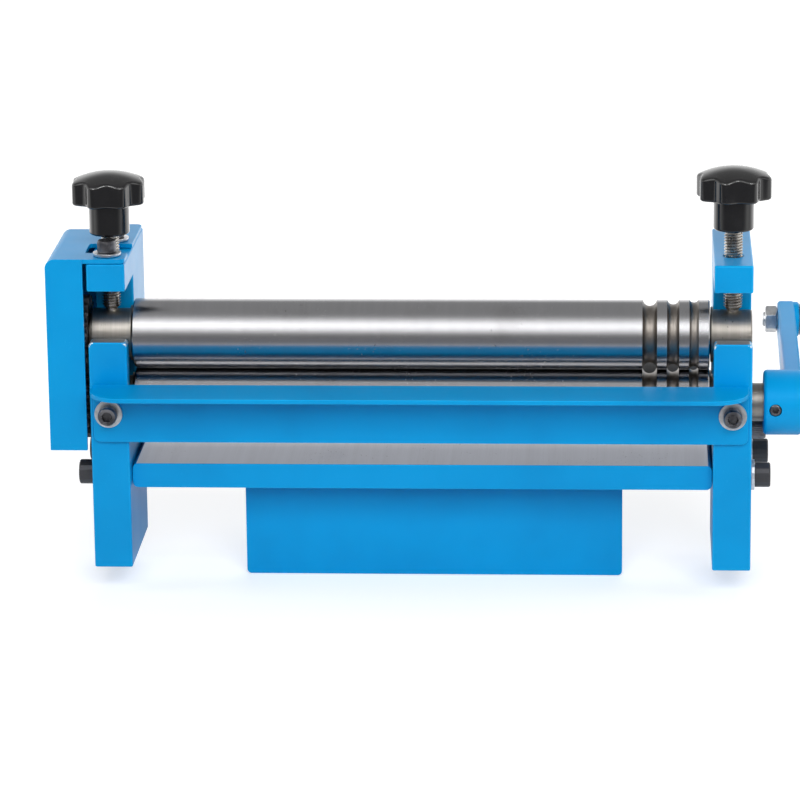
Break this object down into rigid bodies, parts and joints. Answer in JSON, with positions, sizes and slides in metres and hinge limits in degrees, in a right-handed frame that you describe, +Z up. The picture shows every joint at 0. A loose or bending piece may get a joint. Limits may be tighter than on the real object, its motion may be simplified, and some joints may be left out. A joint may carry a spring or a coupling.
{
  "type": "slip roll machine",
  "caption": "Vise-held bench slip roll: two blue side plates, geared pinch rolls under star knobs, a rear bending roll and a crank.",
  "frame": {"origin": "on the front face of the vise plate, midway between the side plates, level with the undersides of the legs", "axes": "+X along the rolls to the crank, -Y to the operator, +Z up"},
  "size_m": [0.4748, 0.1913, 0.225],
  "materials": {
    "blue_paint": "gloss blue enamel, worn at the throat lips",
    "polished_steel": "ground and polished round the rolls",
    "turned_steel": "turned, lightly oiled",
    "gear_steel": "hobbed, greased",
    "black_oxide": "black oxide, satin",
    "zinc_plate": "bright zinc plate",
    "black_plastic": "moulded phenolic, glossy"
  },
  "bodies": {
    "frame": {"left_side_plate": "blue_paint", "right_side_plate": "blue_paint", "base_plate": "blue_paint", "vise_plate": "blue_paint", "vise_weld_front": "blue_paint", "vise_weld_rear": "blue_paint", "base_screw_left_front": "black_oxide", "base_screw_left_rear": "black_oxide", "base_screw_right_front": "black_oxide", "base_screw_right_rear": "black_oxide", "base_washer_right_front": "zinc_plate", "base_washer_right_rear": "zinc_plate", "tie_bar": "turned_steel", "tie_screw_left": "black_oxide", "tie_screw_right": "black_oxide", "front_guard": "blue_paint", "guard_washer_left": "zinc_plate", "guard_washer_right": "zinc_plate", "guard_screw_left": "black_oxide", "guard_screw_right": "black_oxide", "gear_cover": "blue_paint", "cover_washer_front": "zinc_plate", "cover_washer_rear": "zinc_plate", "cover_screw_front": "black_oxide", "cover_screw_rear": "black_oxide", "lower_bush_left": "turned_steel", "lower_bush_right": "turned_steel", "rear_lock_nut_left": "zinc_plate", "rear_lock_nut_right": "zinc_plate"},
    "drive_roll": {"drive_roll": "polished_steel", "drive_gear": "gear_steel", "drive_gear_key": "turned_steel", "drive_gear_clip": "black_oxide", "crank_arm": "blue_paint", "crank_key": "turned_steel", "crank_set_screw": "black_oxide", "handle_bolt": "zinc_plate", "handle_nut": "zinc_plate"},
    "crank_grip": {"crank_grip": "black_plastic"},
    "top_bush_left": {"top_bush_left": "turned_steel"},
    "top_bush_right": {"top_bush_right": "turned_steel"},
    "top_roll": {"top_roll": "polished_steel", "top_gear": "gear_steel", "top_gear_key": "turned_steel", "top_gear_clip": "black_oxide"},
    "knob_left": {"lift_screw_left": "zinc_plate", "star_knob_left": "black_plastic"},
    "knob_right": {"lift_screw_right": "zinc_plate", "star_knob_right": "black_plastic"},
    "rear_bush_left": {"rear_bush_left": "turned_steel"},
    "rear_bush_right": {"rear_bush_right": "turned_steel"},
    "rear_roll": {"rear_roll": "polished_steel"},
    "rear_screw_left": {"rear_screw_left": "black_oxide"},
    "rear_screw_right": {"rear_screw_right": "black_oxide"}
  },
  "joints": [
    {"name": "crank_turn", "type": "hinge", "parent": "frame", "child": "drive_roll", "pos_m": [0, -0.012, 0.0853], "axis": [1, 0, 0], "continuous": true},
    {"name": "grip_spin", "type": "hinge", "parent": "drive_roll", "child": "crank_grip", "pos_m": [0.2413, 0.11231, 0.09837], "axis": [1, 0, 0], "continuous": true},
    {"name": "left_bush_lift", "type": "slide", "parent": "frame", "child": "top_bush_left", "axis": [0, 0, 1], "range_m": [0, 0.0142]},
    {"name": "right_bush_lift", "type": "slide", "parent": "frame", "child": "top_bush_right", "axis": [0, 0, 1], "range_m": [0, 0.01421]},
    {"name": "top_roll_turn", "type": "hinge", "parent": "top_bush_left", "child": "top_roll", "pos_m": [0, -0.012, 0.1217], "axis": [1, 0, 0], "continuous": true},
    {"name": "left_knob_turn", "type": "hinge", "parent": "top_bush_left", "child": "knob_left", "pos_m": [-0.162, -0.012, 0.187], "axis": [0, 0, 1], "range_deg": [0, 3409]},
    {"name": "right_knob_turn", "type": "hinge", "parent": "top_bush_right", "child": "knob_right", "pos_m": [0.162, -0.012, 0.187], "axis": [0, 0, 1], "range_deg": [0, 3409]},
    {"name": "left_rear_feed", "type": "slide", "parent": "frame", "child": "rear_bush_left", "axis": [0, -0.4226, 0.9063], "range_m": [0, 0.018]},
    {"name": "right_rear_feed", "type": "slide", "parent": "frame", "child": "rear_bush_right", "axis": [0, -0.4226, 0.9063], "range_m": [0, 0.01801]},
    {"name": "rear_roll_turn", "type": "hinge", "parent": "rear_bush_left", "child": "rear_roll", "pos_m": [0, 0.033, 0.0776], "axis": [1, 0, 0], "continuous": true},
    {"name": "left_rear_screw_turn", "type": "hinge", "parent": "rear_bush_left", "child": "rear_screw_left", "pos_m": [-0.162, 0.033, 0.0776], "axis": [0, -0.4226, 0.9063], "range_deg": [0, 5185]},
    {"name": "right_rear_screw_turn", "type": "hinge", "parent": "rear_bush_right", "child": "rear_screw_right", "pos_m": [0.162, 0.033, 0.0776], "axis": [0, -0.4226, 0.9063], "range_deg": [0, 5185]}
  ],
  "couplings": [
    {"joint": "top_roll_turn", "follows": "crank_turn", "ratio": -1},
    {"joint": "right_bush_lift", "follows": "left_bush_lift", "ratio": 1},
    {"joint": "left_knob_turn", "follows": "left_bush_lift", "rad_per_m": 4188.8},
    {"joint": "right_knob_turn", "follows": "left_bush_lift", "rad_per_m": 4188.8},
    {"joint": "right_rear_feed", "follows": "left_rear_feed", "ratio": 1},
    {"joint": "left_rear_screw_turn", "follows": "left_rear_feed", "rad_per_m": 5026.5},
    {"joint": "right_rear_screw_turn", "follows": "left_rear_feed", "rad_per_m": 5026.5}
  ]
}
